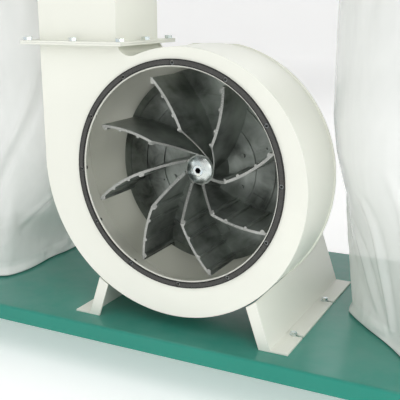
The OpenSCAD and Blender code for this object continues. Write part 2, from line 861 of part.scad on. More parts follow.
// A drum with its duct window, its post ears and its hanger sockets, for the right side
module drum_body() {
    difference() {
        union() {
            translate([0, 0, drum_z]) cylinder(r = drum_r, h = drum_h, $fn = 180);
            for (z = [drum_z, drum_top - 5])
                translate([0, 0, z]) cylinder(r = drum_r + bead, h = 5, $fn = 180);
            for (a = post_angles)
                rotate([0, 0, a])
                    span([drum_r - 3, -15, drum_z + 44], [post_r - post_w / 2 - gap, 15, post_top]);
            for (z = rod_ear_z)
                span([-11, drum_r - 3, z], [11, hanger_y + 11, z + rod_ear_h]);
        }
        translate([0, 0, drum_z - 1]) cylinder(r = drum_r - wall, h = drum_h + 2, $fn = 180);
        span([-drum_cx, front_y + 6, duct_z0 + wall], [0, front_y + housing_d - wall, duct_z1 - wall]);
        translate([0, hanger_y, drum_z]) cylinder(r = rod_r + run_fit, h = drum_h, $fn = 64);
        for (a = post_angles)
            for (z = ear_z)
                rotate([0, 0, a]) translate([drum_r - 20, 0, z]) rotate([0, 90, 0])
                    cylinder(r = 4.3, h = 60, $fn = 32);
    }
}

module drum_left() {
    color(c_cream) translate([-drum_cx, 0, 0]) mirror([1, 0, 0]) drum_body();
}

module drum_right() {
    color(c_cream) translate([drum_cx, 0, 0]) drum_body();
}

// Children are placed inside the drum wall with +Z pointing outwards, at each post bolt
module post_ear_places() {
    each_drum() for (a = post_angles)
        for (z = ear_z)
            rotate([0, 0, a]) translate([drum_r - wall - gap - 1, 0, z]) rotate([0, 90, 0]) children();
}

// Children are placed on the tray's top, at each post foot bolt
module post_foot_places() {
    each_drum() for (a = post_angles)
        for (s = [-1, 1])
            rotate([0, 0, a]) translate([post_r, s * 24, base_top]) children();
}

module drum_posts() {
    color(c_cream) each_drum() for (a = post_angles)
        rotate([0, 0, a]) difference() {
            union() {
                translate([post_r - post_w / 2, -post_w / 2, base_top])
                    cube([post_w, post_w, post_top - base_top]);
                translate([post_r - post_w / 2, -35, base_top]) cube([post_w, 70, foot_t]);
            }
            translate([post_r - post_w / 2 + 2, -post_w / 2 + 2, base_top - 1])
                cube([post_w - 4, post_w - 4, post_top - base_top - 1]);
            for (s = [-1, 1])
                translate([post_r, s * 24, base_top - 1]) cylinder(r = 4.3, h = 9, $fn = 32);
            for (z = ear_z)
                translate([post_r - 30, 0, z]) rotate([0, 90, 0]) cylinder(r = 4.3, h = 60, $fn = 32);
        }
}

// Rods that rise behind the drums and bend forward over the bags
module bag_hangers() {
    color(c_zinc) each_drum() {
        translate([0, hanger_y, hanger_foot])
            cylinder(r = rod_r, h = hanger_z - hanger_bend - hanger_foot, $fn = 64);
        translate([0, hanger_y - hanger_bend, hanger_z - hanger_bend]) rotate([90, 0, 90])
            rotate_extrude(angle = 90, $fn = 64) translate([hanger_bend, 0]) circle(rod_r, $fn = 64);
        translate([0, hanger_y - hanger_bend, hanger_z]) rotate([90, 0, 0])
            cylinder(r = rod_r, h = hanger_y - hanger_bend + 26, $fn = 64);
        translate([0, -26, hanger_z]) sphere(9, $fn = 48);
    }
}

// ---------------------------------------------------------------- bags and clamps

// Upper bag: a cloth tube over the drum's top that narrows to a closed end with a hanging loop
module filter_bag_body() {
    top = drum_top + filter_bag_h;
    hem = drum_top - bag_lap;
    difference() {
        rotate_extrude($fn = 128) polygon([
            [bag_in_r, hem], [bag_in_r + cloth_t, hem],
            [bag_in_r + cloth_t, drum_top + 20], [bag_r, drum_top + 120],
            [bag_r + 3, drum_top + 420], [bag_r - 2, top - 150], [bag_r - 25, top - 60],
            [bag_r - 90, top - 12],
            [40, top], [0, top], [0, top - cloth_t], [40, top - cloth_t], [bag_r - 91, top - 12 - cloth_t],
            [bag_r - 25 - cloth_t, top - 61], [bag_r - 2 - cloth_t, top - 150],
            [bag_r + 3 - cloth_t, drum_top + 420],
            [bag_r - cloth_t, drum_top + 120], [bag_in_r, drum_top + 20]]);
    }
    translate([0, 0, hanger_z + rod_r + 0.4 - loop_r]) rotate([90, 0, 0])
        rotate_extrude($fn = 64) translate([loop_r + loop_t, 0]) circle(loop_t, $fn = 32);
    translate([-6, -loop_t, top - 1]) cube([12, 2 * loop_t, hanger_z + rod_r - 2 * loop_r - loop_t - top]);
}

// Outline of the lower bag as (radius, height), pulled in by inset, from the hem down to the tray
function collection_outline(inset) = [
    [bag_in_r + film_t - inset, drum_z + bag_lap],
    [bag_in_r + film_t - inset, drum_z - 20],
    [bag_r - inset, drum_z - 90],
    [bag_r - inset, shaft_z + 80],
    [bag_r - 7 - inset, shaft_z + 30],
    [bag_r - 17 - inset, shaft_z - 19],
    [bag_r - 26 - inset, shaft_z - 53],
    [bag_r - 38 - inset, shaft_z - 139],
    [bag_r - 47 - inset, shaft_z - 165],
    [bag_r - 62 - inset, base_top + 14]
];

// Lower bag: a film tube over the drum's bottom that rests on the tray
module collection_bag_body() {
    floor_z = base_top + 0.5;
    inner = collection_outline(film_t);
    rotate_extrude($fn = 128) polygon(concat(
        collection_outline(0),
        [[bag_r - 64, floor_z], [0, floor_z], [0, floor_z + film_t], [bag_r - 65, floor_z + film_t]],
        [for (i = [len(inner) - 1 : -1 : 0]) inner[i]]));
}

module filter_bag(side) {
    color(c_cloth) translate([side * drum_cx, 0, 0]) filter_bag_body();
}

module collection_bag(side) {
    color(c_film) translate([side * drum_cx, 0, 0]) collection_bag_body();
}

// Latch frame: X along the band, Y outwards from its outer face, Z up, at the band's middle
module at_latch(side, upper) {
    z = upper ? drum_top - band_in - band_h / 2 : drum_z + band_in + band_h / 2;
    translate([side * drum_cx, 0, z]) mirror([side < 0 ? 1 : 0, 0, 0]) rotate([0, 0, latch_turn - 90])
        translate([0, bag_in_r + cloth_t + gap + band_t, 0]) children();
}

module band_clamp(side, upper) {
    ri = bag_in_r + cloth_t + gap;
    at_latch(side, upper) difference() {
        union() {
            difference() {
                translate([0, -ri - band_t, -band_h / 2]) tube(ri + band_t, ri, band_h);
                span([-8, -30, -20], [8, 30, 20]);
            }
            span([-27, -0.6, -band_h / 2], [-13, 10, band_h / 2]);
            span([14, -0.9, -6], [24, 3.6, 6]);
        }
        span([-40, 1, -5.2], [-8, 20, 5.2]);
    }
    at_latch(side, upper) translate([-20, 6, -band_h / 2 + 1]) cylinder(r = pin_r, h = band_h - 2, $fn = 48);
}

module band_clamps() {
    color(c_zinc) for (side = [-1, 1])
        for (upper = [false, true])
            band_clamp(side, upper);
}

// Over-centre lever that closes the band, turning on the band's pin
module clamp_lever(side, upper) {
    color(c_zinc) at_latch(side, upper) difference() {
        union() {
            translate([-20, 6, -4.9]) cylinder(r = 4, h = 9.8, $fn = 48);
            span([-20, 4.4, -4.9], [-10, 7.2, 4.9]);
            span([-11, 4.4, -8], [lever_l - 26, 7.2, 8]);
            translate([lever_l - 26, 7.2, 0]) rotate([0, 0, 20]) span([-1, -2.8, -8], [12, 0, 8]);
        }
        translate([-20, 6, -10]) cylinder(r = pin_r + run_fit, h = 20, $fn = 48);
    }
}

// ---------------------------------------------------------------- assembly

base_plate();
caster_plates();
caster_bolts();
caster_fork([-1, -1]);  // caster_fork_front_left
caster_fork([1, -1]);  // caster_fork_front_right
caster_fork([-1, 1]);  // caster_fork_rear_left
caster_fork([1, 1]);  // caster_fork_rear_right
caster_axle([-1, -1]);  // caster_axle_front_left
caster_axle([1, -1]);  // caster_axle_front_right
caster_axle([-1, 1]);  // caster_axle_rear_left
caster_axle([1, 1]);  // caster_axle_rear_right
caster_wheel([-1, -1]);  // caster_wheel_front_left
caster_wheel([1, -1]);  // caster_wheel_front_right
caster_wheel([-1, 1]);  // caster_wheel_rear_left
caster_wheel([1, 1]);  // caster_wheel_rear_right
stand_plate(-1);  // stand_plate_left
stand_plate(1);  // stand_plate_right
motor_shelf();
frame_bolts();
housing_front_plate();
housing_wrap();
housing_back_plate();
outlet_flange();
inlet_gasket();
cover_inserts();
impeller();
impeller_washer();
impeller_bolt();
motor_front_bell();
motor_frame();
motor_rear_bell();
motor_bolts();
motor_shaft();
rotor_core();
shaft_key();
motor_bearings();
stator_core();
stator_windings();
cooling_fan();
fan_cover();
capacitor_covers();
capacitors();
switch_box();
start_button();
stop_button();
cable_gland();
duct_tee();
drum_left();
drum_right();
drum_posts();
bag_hangers();
filter_bag(-1);  // filter_bag_left
filter_bag(1);  // filter_bag_right
collection_bag(-1);  // collection_bag_left
collection_bag(1);  // collection_bag_right
band_clamps();
clamp_lever(-1, true);  // clamp_lever_upper_left
clamp_lever(1, true);  // clamp_lever_upper_right
clamp_lever(-1, false);  // clamp_lever_lower_left
clamp_lever(1, false);  // clamp_lever_lower_right
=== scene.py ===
# Looks of the twin-bag dust collector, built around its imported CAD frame. All lengths are in metres.
import json
import math
import random

import bpy
import numpy as np
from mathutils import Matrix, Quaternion, Vector


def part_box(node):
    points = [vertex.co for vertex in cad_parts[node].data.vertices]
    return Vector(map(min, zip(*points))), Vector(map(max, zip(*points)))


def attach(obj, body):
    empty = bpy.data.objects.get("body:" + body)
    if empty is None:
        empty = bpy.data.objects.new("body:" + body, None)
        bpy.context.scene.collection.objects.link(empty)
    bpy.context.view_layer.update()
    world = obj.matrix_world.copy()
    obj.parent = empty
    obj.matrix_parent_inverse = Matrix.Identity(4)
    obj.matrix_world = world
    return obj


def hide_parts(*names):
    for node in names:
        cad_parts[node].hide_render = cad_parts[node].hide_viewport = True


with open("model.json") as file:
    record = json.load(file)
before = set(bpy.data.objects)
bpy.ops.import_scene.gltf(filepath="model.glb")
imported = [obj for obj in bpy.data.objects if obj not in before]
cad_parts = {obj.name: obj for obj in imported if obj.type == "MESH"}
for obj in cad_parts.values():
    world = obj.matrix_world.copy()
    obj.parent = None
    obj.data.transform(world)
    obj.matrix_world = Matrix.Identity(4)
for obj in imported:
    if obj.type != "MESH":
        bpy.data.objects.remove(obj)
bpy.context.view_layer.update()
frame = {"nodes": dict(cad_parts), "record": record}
nodes = frame["nodes"]
scene = bpy.context.scene

MM = 0.001


# ---------------------------------------------------------------- node helpers

class Finish:
    """A Principled material, with short calls that add the nodes of its detail."""

    def __init__(self, name, colour, roughness, metallic=0.0, **sockets):
        self.mat = bpy.data.materials.new(name)
        self.mat.use_nodes = True
        self.tree = self.mat.node_tree
        self.shader = self.tree.nodes["Principled BSDF"]
        self.shader.inputs["Base Color"].default_value = (*colour, 1)
        self.shader.inputs["Roughness"].default_value = roughness
        self.shader.inputs["Metallic"].default_value = metallic
        for key, value in sockets.items():
            self.shader.inputs[key.replace("_", " ")].default_value = value
        self.place = self.tree.nodes.new("ShaderNodeTexCoord").outputs["Object"]

    def wire(self, value, socket):
        if isinstance(value, bpy.types.NodeSocket):
            self.tree.links.new(value, socket)
        else:
            socket.default_value = value

    def node(self, kind, settings=(), **inputs):
        made = self.tree.nodes.new(kind)
        for key, value in dict(settings).items():
            setattr(made, key, value)
        for key, value in inputs.items():
            self.wire(value, made.inputs[key.replace("_", " ")])
        return made

    def moved(self, offset=(0, 0, 0), stretch=(1, 1, 1)):
        """The object's own coordinates, offset and then stretched."""
        shifted = self.node("ShaderNodeVectorMath", {"operation": "SUBTRACT"})
        self.wire(self.place, shifted.inputs[0])
        shifted.inputs[1].default_value = offset
        scaled = self.node("ShaderNodeVectorMath", {"operation": "MULTIPLY"})
        self.wire(shifted.outputs[0], scaled.inputs[0])
        scaled.inputs[1].default_value = stretch
        return scaled.outputs[0]

    def noise(self, per_metre, detail=3.0, rough=0.55, vector=None, distort=0.0):
        return self.node("ShaderNodeTexNoise", Vector=vector or self.place, Scale=per_metre,
                         Detail=detail, Roughness=rough, Distortion=distort).outputs["Fac"]

    def sum(self, operation, a, b):
        made = self.node("ShaderNodeMath", {"operation": operation})
        self.wire(a, made.inputs[0])
        self.wire(b, made.inputs[1])
        return made.outputs[0]

    def span(self, value, lo, hi, out_lo=0.0, out_hi=1.0):
        """value from lo..hi to out_lo..out_hi, held at both ends."""
        return self.node("ShaderNodeMapRange", Value=value, From_Min=lo, From_Max=hi,
                         To_Min=out_lo, To_Max=out_hi).outputs["Result"]

    def blend(self, share, a, b):
        made = self.node("ShaderNodeMix", {"data_type": "RGBA"})
        self.wire(share, made.inputs[0])
        self.wire((*a, 1) if isinstance(a, tuple) else a, made.inputs[6])
        self.wire((*b, 1) if isinstance(b, tuple) else b, made.inputs[7])
        return made.outputs[2]

    def colour(self, value):
        self.wire(value, self.shader.inputs["Base Color"])

    def rough(self, value):
        self.wire(value, self.shader.inputs["Roughness"])

    def relief(self, height, depth, strength=1.0, edge=0.0):
        """Bump of that depth in metres, on edges rounded to the radius edge."""
        made = self.node("ShaderNodeBump", Height=height, Distance=depth, Strength=strength)
        if edge:
            rounded = self.node("ShaderNodeBevel", {"samples": 4}, Radius=edge)
            self.wire(rounded.outputs["Normal"], made.inputs["Normal"])
        self.wire(made.outputs["Normal"], self.shader.inputs["Normal"])


def tone(colour, factor):
    """The colour made darker or lighter by factor."""
    return tuple(min(1.0, c * factor) for c in colour)


def paint(name, colour, roughness, peel, edge=1.0 * MM, settled=0.0, **sockets):
    """Sprayed gloss paint: orange peel, slow colour drift, softened edges, and dust that settled on top."""
    made = Finish(name, colour, roughness, **sockets)
    drift = made.span(made.noise(3.5, 2), 0.3, 0.7)
    base = made.blend(drift, tone(colour, 0.955), tone(colour, 1.03))
    smears = made.span(made.noise(9, 4, 0.6), 0.35, 0.8, 0.5, 1.6)
    facing = made.tree.nodes.new("ShaderNodeSeparateXYZ")
    made.wire(made.tree.nodes.new("ShaderNodeNewGeometry").outputs["Normal"], facing.inputs[0])
    upward = made.span(facing.outputs["Z"], 0.3, 1.0, 0.01, settled + 0.01)
    made.colour(made.blend(made.sum("MULTIPLY", upward, smears), base, (0.66, 0.68, 0.66)))
    made.rough(made.span(made.noise(7, 2), 0.25, 0.75, roughness - 0.03, roughness + 0.04))
    made.relief(made.noise(620, 1.5), peel, 0.55, edge)
    return made.mat


def plated(name, colour, roughness):
    """Bright zinc plate: faint blue and straw clouds, fine pitting and dull patches."""
    made = Finish(name, colour, roughness, 1.0)
    clouds = made.span(made.noise(90, 2), 0.35, 0.65)
    tint = made.blend(clouds, (colour[0] * 0.93, colour[1] * 0.99, colour[2] * 1.05),
                      (colour[0] * 1.03, colour[1] * 1.01, colour[2] * 0.93))
    made.colour(tint)
    made.rough(made.span(made.noise(140, 3), 0.3, 0.7, roughness - 0.05, roughness + 0.07))
    made.relief(made.noise(500, 2), 0.015 * MM, 0.3, 0.4 * MM)
    return made.mat


def rubbed_zinc():
    """Smooth zinc of the domed washer, with slow blue and straw clouds."""
    made = Finish("domed_zinc", (0.62, 0.68, 0.68), 0.2, 1.0)
    clouds = made.span(made.noise(40, 2), 0.4, 0.6)
    made.colour(made.blend(clouds, (0.56, 0.64, 0.65), (0.66, 0.70, 0.68)))
    made.rough(made.span(made.noise(12, 1), 0.35, 0.65, 0.2, 0.3))
    made.relief(made.noise(60, 1), 0.02 * MM, 0.1)
    return made.mat


def turned(name, colour, roughness, grain):
    """Machined metal with fine tool lines, stretched by grain."""
    made = Finish(name, colour, roughness, 1.0)
    lines = made.noise(900, 2, vector=made.moved(stretch=grain))
    made.colour(made.blend(lines, tone(colour, 0.8), tone(colour, 1.12)))
    made.rough(made.span(lines, 0.3, 0.7, roughness - 0.06, roughness + 0.1))
    made.relief(lines, 0.03 * MM, 0.6, 0.3 * MM)
    return made.mat


def cast(name, dark, light, roughness, metallic, grit=0.22 * MM, edge=0.8 * MM):
    """Sand-cast metal: grainy skin, cloudy lighter rubs and dark hollows."""
    made = Finish(name, dark, roughness, metallic)
    clouds = made.span(made.noise(16, 3, 0.55), 0.32, 0.72)
    grain = made.noise(500, 1, 0.5)
    base = made.blend(clouds, tone(dark, 0.8), light)
    made.colour(made.blend(made.span(grain, 0.42, 0.7, 0, 0.35), base, tone(light, 1.45)))
    made.rough(made.span(made.noise(12, 2), 0.3, 0.7, roughness - 0.06, roughness + 0.08))
    made.relief(made.sum("ADD", grain, made.noise(120, 1)), grit, 0.5, edge)
    return made.mat


def cast_impeller():
    """Dark cast aluminium, brighter where air and chips rub it, uneven at the scale of a fingertip."""
    made = Finish("cast_aluminium", (0.13, 0.14, 0.13), 0.32, 0.65)
    worn = made.span(made.noise(11, 3, 0.6), 0.36, 0.66)
    streaks = made.span(made.noise(30, 4, 0.6, made.moved(stretch=(1, 0.3, 1)), 0.5), 0.35, 0.7, 0, 0.5)
    body = made.blend(worn, (0.059, 0.068, 0.059), (0.29, 0.325, 0.292))
    made.colour(made.blend(streaks, body, (0.42, 0.455, 0.43)))
    made.rough(made.span(made.noise(6, 1), 0.3, 0.7, 0.27, 0.36))
    made.relief(made.noise(55, 2), 0.5 * MM, 0.35)
    return made.mat


def moulded(name, colour, roughness, grit=0.06 * MM):
    """Moulded plastic with a fine spark-eroded grain."""
    made = Finish(name, colour, roughness)
    made.colour(made.blend(made.noise(40, 3), tone(colour, 0.88), tone(colour, 1.15)))
    made.rough(made.span(made.noise(55, 3), 0.3, 0.7, roughness - 0.06, roughness + 0.08))
    made.relief(made.noise(1900, 2), grit, 0.5, 0.6 * MM)
    return made.mat


def gasket_rubber():
    """Closed-cell strip: open grain along its middle; the near-black bands along both edges are painted
    shade.
    """
    lo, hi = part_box("inlet_gasket")
    centre, outer = (lo + hi) / 2, (hi.x - lo.x) / 2
    made = Finish("gasket_rubber", (0.07, 0.07, 0.067), 0.78)
    flat = made.moved(offset=tuple(centre), stretch=(1, 0, 1))
    length = made.node("ShaderNodeVectorMath", {"operation": "LENGTH"})
    made.wire(flat, length.inputs[0])
    radius = length.outputs["Value"]
    inner_edge_shade = made.span(radius, outer - 8.6 * MM, outer - 7.2 * MM, 1, 0)
    outer_edge_shade = made.span(radius, outer - 2.2 * MM, outer - 1.1 * MM)
    edges = made.sum("MAXIMUM", inner_edge_shade, outer_edge_shade)
    grain = made.noise(1100, 3, 0.65)
    body = made.blend(made.span(grain, 0.35, 0.7), (0.038, 0.038, 0.036), (0.080, 0.080, 0.075))
    # Near-black bands at both edges: painted shade along the gasket's borders.
    made.colour(made.blend(edges, body, (0.008, 0.008, 0.008)))
    made.rough(made.span(made.noise(200, 2), 0.3, 0.7, 0.7, 0.88))
    made.relief(grain, 0.25 * MM, 0.7, 0.5 * MM)
    return made.mat


def winding():
    """Enamelled wire laid round the coil."""
    made = Finish("copper", (0.62, 0.27, 0.11), 0.32, 0.9)
    wires = made.node("ShaderNodeTexWave", {"bands_direction": "Y"}, Vector=made.place, Scale=330,
                      Distortion=2.5, Detail=2.0).outputs["Fac"]
    made.colour(made.blend(wires, (0.30, 0.11, 0.04), (0.72, 0.34, 0.15)))
    made.relief(wires, 0.5 * MM, 0.8)
    return made.mat


def film(name, share, colour, haze, low):
    """Thin polyethylene film: share is how much one layer hides, more in streaks and near its bottom, low."""
    made = Finish(name, colour, 0.22)
    streaks = made.noise(7, 4, 0.6, made.moved(stretch=(1, 1, 0.25)), 0.6)
    clouds = made.span(streaks, 0.3, 0.72, share - haze, share + haze)
    height = made.tree.nodes.new("ShaderNodeSeparateXYZ")
    made.wire(made.place, height.inputs[0])
    # The film is made more opaque towards its bottom, so it shows whiter there.
    hazier_low = made.span(height.outputs["Z"], low, low + 0.30, 0.22, 0.0)
    welded = made.span(height.outputs["Z"], low + 0.024, low + 0.030, 0.16, 0.0)
    made.wire(made.sum("ADD", clouds, made.sum("ADD", hazier_low, welded)), made.shader.inputs["Alpha"])
    made.colour(made.blend(made.span(streaks, 0.35, 0.7), tone(colour, 0.965), tone(colour, 1.02)))
    made.rough(made.span(made.noise(6, 1), 0.3, 0.7, 0.15, 0.26))
    wrinkles = made.noise(10, 2, 0.5, made.moved(stretch=(1, 1, 0.35)), 0.6)
    made.relief(made.sum("ADD", wrinkles, made.sum("MULTIPLY", made.noise(60, 2), 0.02)), 3 * MM, 0.30)
    return made.mat


def felt(name, colour):
    """Needled filter felt with a scrim weave showing through and soiled patches."""
    made = Finish(name, colour, 0.94, Sheen_Weight=0.35, Sheen_Roughness=0.6)
    uv = made.tree.nodes.new("ShaderNodeTexCoord").outputs["UV"]
    warp = made.node("ShaderNodeTexWave", {"bands_direction": "X"}, Vector=uv, Scale=150, Distortion=0.9)
    weft = made.node("ShaderNodeTexWave", {"bands_direction": "Y"}, Vector=uv, Scale=150, Distortion=0.9)
    weave = made.sum("MULTIPLY", warp.outputs["Fac"], weft.outputs["Fac"])
    fibres = made.noise(1500, 4, 0.7)
    cloud = made.span(made.noise(4.5, 4, 0.6), 0.4, 0.75)
    base = made.blend(cloud, colour, tone(colour, 0.86))
    made.colour(made.blend(made.span(fibres, 0.4, 0.7, 0, 0.45), base, tone(colour, 0.80)))
    made.relief(made.sum("ADD", made.sum("MULTIPLY", weave, 0.7), fibres), 0.35 * MM, 0.75)
    return made.mat


def tyre():
    """Rubber tread with moulding specks and floor dust."""
    made = Finish("tyre_rubber", (0.035, 0.035, 0.036), 0.7)
    dust = made.span(made.noise(60, 5, 0.65), 0.45, 0.75, 0, 0.4)
    made.colour(made.blend(dust, (0.030, 0.030, 0.031), (0.16, 0.155, 0.145)))
    made.rough(made.span(made.noise(90, 3), 0.3, 0.7, 0.62, 0.85))
    made.relief(made.noise(1300, 3), 0.15 * MM, 0.6, 0.8 * MM)
    return made.mat


GREEN = (0.006, 0.232, 0.172)
CREAM = (0.800, 0.812, 0.735)
finish = {
    "green_paint": paint("green_paint", GREEN, 0.22, 0.02 * MM, 1.6 * MM, 0.065,
                         Specular_IOR_Level=0.38),
    "cream_paint": paint("cream_paint", CREAM, 0.36, 0.02 * MM, 1.2 * MM,
                         Coat_Weight=0.2, Coat_Roughness=0.2),
    "motor_paint": cast("motor_paint", (0.010, 0.115, 0.085), (0.022, 0.155, 0.118), 0.38, 0.0,
                        0.12 * MM),
    "zinc": plated("zinc", (0.70, 0.74, 0.74), 0.24),
    "bright_steel": turned("bright_steel", (0.58, 0.58, 0.57), 0.28, (1, 0.15, 1)),
    "copper": winding(),
    "cast_aluminium": cast_impeller(),
    "gasket_rubber": gasket_rubber(),
    "tyre_rubber": tyre(),
    "black_plastic": moulded("black_plastic", (0.022, 0.022, 0.024), 0.46),
    "start_green": moulded("start_green", (0.02, 0.30, 0.06), 0.26, 0.02 * MM),
    "stop_red": moulded("stop_red", (0.50, 0.012, 0.010), 0.26, 0.02 * MM),
    "bag_film": film("bag_film", 0.46, (0.93, 0.955, 0.93), 0.06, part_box("base_plate")[1].z),
    "filter_cloth": felt("filter_cloth", (0.66, 0.65, 0.595)),
}
cast_edge = cast("cast_edge", (0.24, 0.25, 0.235), (0.42, 0.43, 0.405), 0.42, 0.45, 0.15 * MM)
domed_zinc = rubbed_zinc()
dull_zinc = plated("dull_zinc", (0.26, 0.265, 0.26), 0.38)
# Near-black finish for the screw's socket faces: painted shade in the recess
painted_socket_shade = turned("painted_socket_shade", (0.018, 0.018, 0.020), 0.5, (1, 1, 1))
hub_grey = moulded("hub_grey", (0.21, 0.215, 0.22), 0.48)

for row in frame["record"]["subparts"]:
    mesh = nodes[row["node"]].data
    mesh.materials.clear()
    mesh.materials.append(finish[row["material_slot"]])


def second_material(node, material, wanted):
    """Gives the faces of a node for which wanted(centre, normal) holds another material."""
    mesh = nodes[node].data
    mesh.materials.append(material)
    for face in mesh.polygons:
        if wanted(face.center, face.normal):
            face.material_index = 1


# The blades' front edges are rubbed bright, from the tips down the slope to the hub
lo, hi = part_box("impeller")
eye = (lo + hi) / 2
blade_front = lo.y


def on_blade_edge(centre, normal):
    reach = math.hypot(centre.x - eye.x, centre.z - eye.z)
    return normal.y < -0.35 and centre.y < blade_front + 68 * MM and reach > 24 * MM


second_material("impeller", cast_edge, on_blade_edge)

# The screw's socket is painted near-black as shade in its recess, and the cover inserts are dull beside the
# other fasteners
lo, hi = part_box("impeller_bolt")
socket = (lo + hi) / 2
second_material("impeller_bolt", painted_socket_shade,
                lambda c, n: math.hypot(c.x - socket.x, c.z - socket.z) < 5.4 * MM and c.y > lo.y + 0.2 * MM)
nodes["cover_inserts"].data.materials[0] = dull_zinc
nodes["impeller_washer"].data.materials[0] = domed_zinc

for corner in ("front_left", "front_right", "rear_left", "rear_right"):
    name = "caster_wheel_" + corner
    lo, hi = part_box(name)
    axle = (lo + hi) / 2
    tread = (hi.z - lo.z) / 2
    second_material(name, hub_grey,
                    lambda c, n: math.hypot(c.y - axle.y, c.z - axle.z) < 0.68 * tread)


# ---------------------------------------------------------------- soft goods

tray_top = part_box("base_plate")[1].z


def add_object(name, verts, faces, material, uvs=None):
    """A smooth-shaded mesh object, with one UV for each vertex if uvs is given."""
    mesh = bpy.data.meshes.new(name)
    mesh.from_pydata([tuple(v) for v in verts], [], faces)
    mesh.validate()
    if uvs is not None:
        layer = mesh.uv_layers.new(name="cloth")
        for loop in mesh.loops:
            layer.data[loop.index].uv = uvs[loop.vertex_index]
    mesh.polygons.foreach_set("use_smooth", [True] * len(mesh.polygons))
    mesh.materials.append(material)
    made = bpy.data.objects.new(name, mesh)
    scene.collection.objects.link(made)
    return made


def skin(name, rings, material, circumference):
    """A tube through rings of points, closed at its last ring, with UVs in metres."""
    around = len(rings[0])
    verts = np.concatenate(rings)
    steps = np.linalg.norm(np.diff(np.array([r.mean(axis=0) + [abs(r - r.mean(axis=0)).max(), 0, 0]
                                             for r in rings]), axis=0), axis=1)
    down = np.concatenate([[0], np.cumsum(steps)])
    uvs = [(circumference * j / around, down[i]) for i in range(len(rings)) for j in range(around)]
    faces = []
    for i in range(len(rings) - 1):
        for j in range(around):
            k = (j + 1) % around
            faces.append((i * around + j, i * around + k, (i + 1) * around + k, (i + 1) * around + j))
    verts = np.vstack([verts, rings[-1].mean(axis=0)])
    uvs.append((0, down[-1]))
    last = (len(rings) - 1) * around
    for j in range(around):
        faces.append((last + j, last + (j + 1) % around, len(verts) - 1))
    return add_object(name, verts, faces, material, uvs)


def simulate(ob, pinned, frames, cap, pressure, growth=0.0, bending=0.5, mass=0.15):
    """Runs a cloth simulation without gravity on ob and keeps its result. Points move at most cap."""
    rest = np.array([v.co for v in ob.data.vertices])
    group = ob.vertex_groups.new(name="pin")
    group.add([int(i) for i in pinned], 1.0, "ADD")
    cloth = ob.modifiers.new("Cloth", "CLOTH")
    cloth.settings.quality = 6
    cloth.settings.mass = mass
    cloth.settings.tension_stiffness = 15
    cloth.settings.compression_stiffness = 15
    cloth.settings.shear_stiffness = 7
    cloth.settings.bending_stiffness = bending
    cloth.settings.shrink_min = -growth
    cloth.settings.effector_weights.gravity = 0
    cloth.settings.vertex_group_mass = "pin"
    cloth.settings.use_pressure = True
    cloth.settings.uniform_pressure_force = pressure
    cloth.collision_settings.use_collision = False
    cloth.collision_settings.use_self_collision = False
    cloth.point_cache.frame_start = 1
    cloth.point_cache.frame_end = frames
    for step in range(1, frames + 1):
        scene.frame_set(step)
    shown = ob.evaluated_get(bpy.context.evaluated_depsgraph_get())
    moved = np.array([v.co for v in shown.data.vertices])
    ob.modifiers.remove(cloth)
    ob.vertex_groups.remove(group)
    scene.frame_set(1)
    shift = moved - rest
    far = np.linalg.norm(shift, axis=1, keepdims=True)
    shift = shift * np.minimum(1, cap / np.maximum(far, 1e-9))
    ob.data.vertices.foreach_set("co", (rest + shift).ravel())
    ob.data.update()


def smooth_step(value):
    """0 below 0, 1 above 1, and level at both ends."""
    value = np.clip(value, 0, 1)
    return value * value * (3 - 2 * value)


